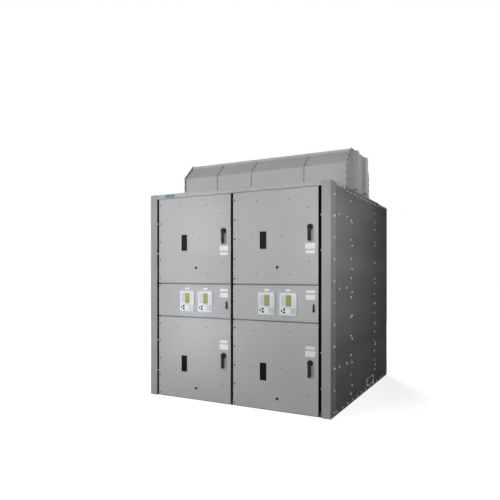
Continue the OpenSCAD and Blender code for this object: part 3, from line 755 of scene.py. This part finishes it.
def relay_face(name, body, left, bottom, face):
    """Rim, screen, lamps, keys and switches of a relay."""
    def at(x, z, depth=0.0):
        return on_front(left + x, bottom + z, face + depth)

    rim = border(RELAY_W - RIM_IN, RELAY_H - RIM_IN, RIM_R, RIM_W, RIM_T)
    rim = placed(rim, at(RELAY_W / 2, RELAY_H / 2, -RELAY_SINK))
    add_piece(f"{name}_rim", rim, RELAY_RIM, body)
    glass = plate(SCREEN_W - SCREEN_PLAY, SCREEN_H - SCREEN_PLAY, SCREEN_T, SCREEN_R, SCREEN_EDGE)
    glass = placed(glass, at(SCREEN_X, SCREEN_Z, SCREEN_SINK))
    add_piece(f"{name}_screen", glass, LCD, body)
    surround = border(SCREEN_W + SURROUND_OUT, SCREEN_H + SURROUND_OUT, SURROUND_R, SURROUND_W,
                      SURROUND_T)
    strips = [placed(LAMP_STRIP, at(LAMP_STRIP_X, z)) for z in LAMP_LEVELS]
    strips.append(placed(surround, at(SCREEN_X, SCREEN_Z)))
    add_piece(f"{name}_strips", joined(strips), RELAY_RIM, body)
    lamps = stamped(RELAY_LAMP, [at(LAMP_X, z) for z in LAMP_LEVELS])
    add_piece(f"{name}_lamps", lamps, BASE_STEEL, body)
    keys = [at(x, z, KEYPAD_SINK) for x, z in product(KEYPAD_X, KEYPAD_Z)]
    keys += [at(FUNCTION_KEY_X, z) for z in FUNCTION_KEY_Z]
    add_piece(f"{name}_keys", stamped(KEY, keys), KEY_TEAL, body)
    soft_keys = stamped(SOFT_KEY, [at(x, SOFT_KEY_Z) for x in SOFT_KEY_X])
    add_piece(f"{name}_soft_keys", soft_keys, KEY_ORANGE, body)
    switches = [placed(turned(KNOB_PROFILE, KNOB_SIDES), at(KNOB_X, z)) for z in KNOB_Z]
    switches.append(placed(PORT, at(PORT_X, PORT_Z)))
    add_piece(f"{name}_switches", joined(switches), BLACK_PLASTIC, body)
    across = (FACE_SCREW_IN, RELAY_W - FACE_SCREW_IN)
    upwards = (FACE_SCREW_IN, RELAY_H - FACE_SCREW_IN)
    screws = stamped(FINE_SCREW, [at(x, z) for x, z in product(across, upwards)])
    add_piece(f"{name}_screws", screws, ZINC, body)


# Front trims and header
CLIP_LEVELS = (2.070, 1.710, 0.667, 0.302)
CLIP_T = 0.004
CLIP_BACK = 0.013
CLIP_PLATE = plate(w=0.012, h=0.040, t=CLIP_T, r=0.002, edge=0.001)
HEADER_PLATE = plate(w=0.140, h=0.030, t=0.0018, r=0.002, edge=0.0006)
HEADER_PLATE_X = 0.190
HEADER_SCREW_END, HEADER_SCREW_PITCH = 0.05, 0.40


def trim_clips():
    """Bright clips on the inner edges of the end trims, in the outer door gaps."""
    clip = joined([CLIP_PLATE, placed(FINE_SCREW, Matrix.Translation((0, 0, CLIP_T)))])
    matrices = []
    for way, z in product((-1, 1), CLIP_LEVELS):
        place = (way * TRIM_INNER, TRIM_FACE + CLIP_BACK, z)
        matrices.append(facing(place, (-way, 0, 0), math.pi / 2))
    add_piece("trim_clips", stamped(clip, matrices), ZINC)


def header_strip():
    """Plain coloured strip at the left end of the header, and the header's screws."""
    low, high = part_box("front_header")
    z = (low.z + high.z) / 2
    strip = placed(HEADER_PLATE, on_front(low.x + HEADER_PLATE_X, z, low.y))
    add_piece("header_strip", strip, HEADER_STRIP)
    places = evenly(low.x + HEADER_SCREW_END, high.x - HEADER_SCREW_END, HEADER_SCREW_PITCH)
    screws = stamped(FINE_SCREW, [on_front(x, z, low.y) for x in places])
    add_piece("header_screws", screws, PAINTED_SCREW)


# Stage, camera and light
WHITE = (1, 1, 1, 1)
FLOOR_HALF = 40
FLOOR_ROUGH = 0.9
# Tone of the floor to light that is thrown on, and to the eye
FLOOR_BOUNCE, FLOOR_TONE = 0.18, 0.86
# Distances between which the floor's own glow rises, and its strength at both
GLOW_NEAR, GLOW_FAR = 1.5, 5.0
GLOW_LOW, GLOW_HIGH = 0.78, 1.0
CAMERA_AT = (2.752, -6.053, 1.480)
CAMERA_TURN = (math.radians(90), 0, math.radians(27.81))
SENSOR_W, LENS, SHIFT_Y = 36, 35.68, 0.0454
FRONT_AIM = (0.0, -1.2, 1.4)
# Name, place, target, size, power, and spread in degrees
LAMPS = (
    ("left", (-3.5, -7.0, 2.6), FRONT_AIM, 5.0, 230, 180),
    ("right", (2.2, -8.0, 3.0), FRONT_AIM, 4.0, 160, 180),
    ("high", (0.0, -4.5, 6.5), FRONT_AIM, 4.0, 37, 180),
    ("upper_doors", (1.2, -6.0, 2.6), (-0.62, -1.27, 1.95), 0.8, 0.8, 16),
    ("lower_doors", (1.2, -6.0, 1.6), (-0.55, -1.27, 0.80), 0.8, 1.0, 17),
    ("right_edge", (2.6, -4.2, 2.6), (1.10, -1.27, 1.7), 0.6, 1.28, 40),
    ("right_wall", (4.6, -1.35, 2.7), (1.145, -1.15, 2.1), 0.8, 7.0, 75),
    ("left_wall", (-6.0, 1.5, 2.5), (-1.145, 0.0, 1.3), 4.0, 120, 180),
    ("duct_end", (3.6, -0.3, 3.5), (1.13, 0.1, 2.80), 0.4, 0.56, 26),
    ("back", (-3.5, 7.0, 3.2), (0.0, 1.2, 1.2), 4.0, 260, 180),
    ("top", (-1.0, 3.8, 7.0), (0.0, 0.4, 2.4), 2.0, 160, 180),
)


def grey(tone):
    """Colour of one tone."""
    return (tone, tone, tone, 1)


def direct_rays(tree):
    """1 for rays from the eye and for gloss and glass, 0 for light that is thrown on."""
    path = tree.nodes.new("ShaderNodeLightPath")
    total = path.outputs["Is Camera Ray"]
    for ray in ("Is Glossy Ray", "Is Transmission Ray"):
        most = tree.nodes.new("ShaderNodeMath")
        most.operation = "MAXIMUM"
        tree.links.new(total, most.inputs[0])
        tree.links.new(path.outputs[ray], most.inputs[1])
        total = most.outputs[0]
    return total


def backdrop_material():
    """Pale floor that whitens with distance from the part, and throws little light back."""
    material = bpy.data.materials.new("floor")
    material.use_nodes = True
    tree = material.node_tree
    shader = tree.nodes["Principled BSDF"]
    shader.inputs["Roughness"].default_value = FLOOR_ROUGH
    shader.inputs["Specular IOR Level"].default_value = 0.0
    seen = direct_rays(tree)
    tone = ramp(tree, seen, grey(FLOOR_BOUNCE), grey(FLOOR_TONE))
    tree.links.new(tone, shader.inputs["Base Color"])
    reach = tree.nodes.new("ShaderNodeVectorMath")
    reach.operation = "LENGTH"
    tree.links.new(tree.nodes.new("ShaderNodeTexCoord").outputs["Object"], reach.inputs[0])
    rise = add_node(tree, "ShaderNodeMapRange", From_Min=GLOW_NEAR, From_Max=GLOW_FAR,
                    To_Min=GLOW_LOW, To_Max=GLOW_HIGH)
    tree.links.new(reach.outputs["Value"], rise.inputs["Value"])
    glow = tree.nodes.new("ShaderNodeMath")
    glow.operation = "MULTIPLY"
    tree.links.new(rise.outputs["Result"], glow.inputs[0])
    tree.links.new(seen, glow.inputs[1])
    shader.inputs["Emission Color"].default_value = WHITE
    tree.links.new(glow.outputs[0], shader.inputs["Emission Strength"])
    return material


def add_floor():
    """Wide floor under the part."""
    half = FLOOR_HALF
    mesh = bpy.data.meshes.new("floor")
    corners = [(-half, -half, 0), (half, -half, 0), (half, half, 0), (-half, half, 0)]
    mesh.from_pydata(corners, [], [(0, 1, 2, 3)])
    mesh.materials.append(backdrop_material())
    floor = bpy.data.objects.new("floor", mesh)
    bpy.context.scene.collection.objects.link(floor)


def add_world():
    """White to the eye and in gloss, and no light by itself."""
    world = bpy.data.worlds.new("studio")
    bpy.context.scene.world = world
    world.use_nodes = True
    tree = world.node_tree
    background = tree.nodes["Background"]
    background.inputs["Color"].default_value = WHITE
    tree.links.new(direct_rays(tree), background.inputs["Strength"])


def add_lamp(name, place, target, size, power, spread_deg):
    """Round lamp that looks at a target."""
    light = bpy.data.lights.new(name, "AREA")
    light.shape = "DISK"
    light.size = size
    light.energy = power
    light.spread = math.radians(spread_deg)
    lamp = bpy.data.objects.new(name, light)
    lamp.location = place
    lamp.rotation_euler = (Vector(target) - Vector(place)).to_track_quat("-Z", "Y").to_euler()
    bpy.context.scene.collection.objects.link(lamp)


def add_camera():
    """Camera in the photograph's view."""
    data = bpy.data.cameras.new("camera")
    data.sensor_width = SENSOR_W
    data.lens = LENS
    data.shift_y = SHIFT_Y
    camera = bpy.data.objects.new("camera", data)
    camera.location = CAMERA_AT
    camera.rotation_euler = CAMERA_TURN
    bpy.context.scene.collection.objects.link(camera)
    bpy.context.scene.camera = camera


for node_name, node_object in frame["nodes"].items():
    dress_node(node_name, node_object)
for wall in SIDES:
    side_bolts(wall)
    angle_bolts(wall)
    ground_pad(wall)
    control_door_detail(wall)
    for level in TIERS:
        door_edge_painted_shade(wall, level)
    for level in BREAKER_TIERS:
        breaker_door_detail(wall, level)
rear_bolts()
duct_bolts()
duct_lid_screws()
gap_painted_shade_strips()
header_lip()
trim_clips()
header_strip()

add_camera()
add_floor()
add_world()
for lamp_facts in LAMPS:
    add_lamp(*lamp_facts)
bpy.context.scene.view_settings.view_transform = "Standard"
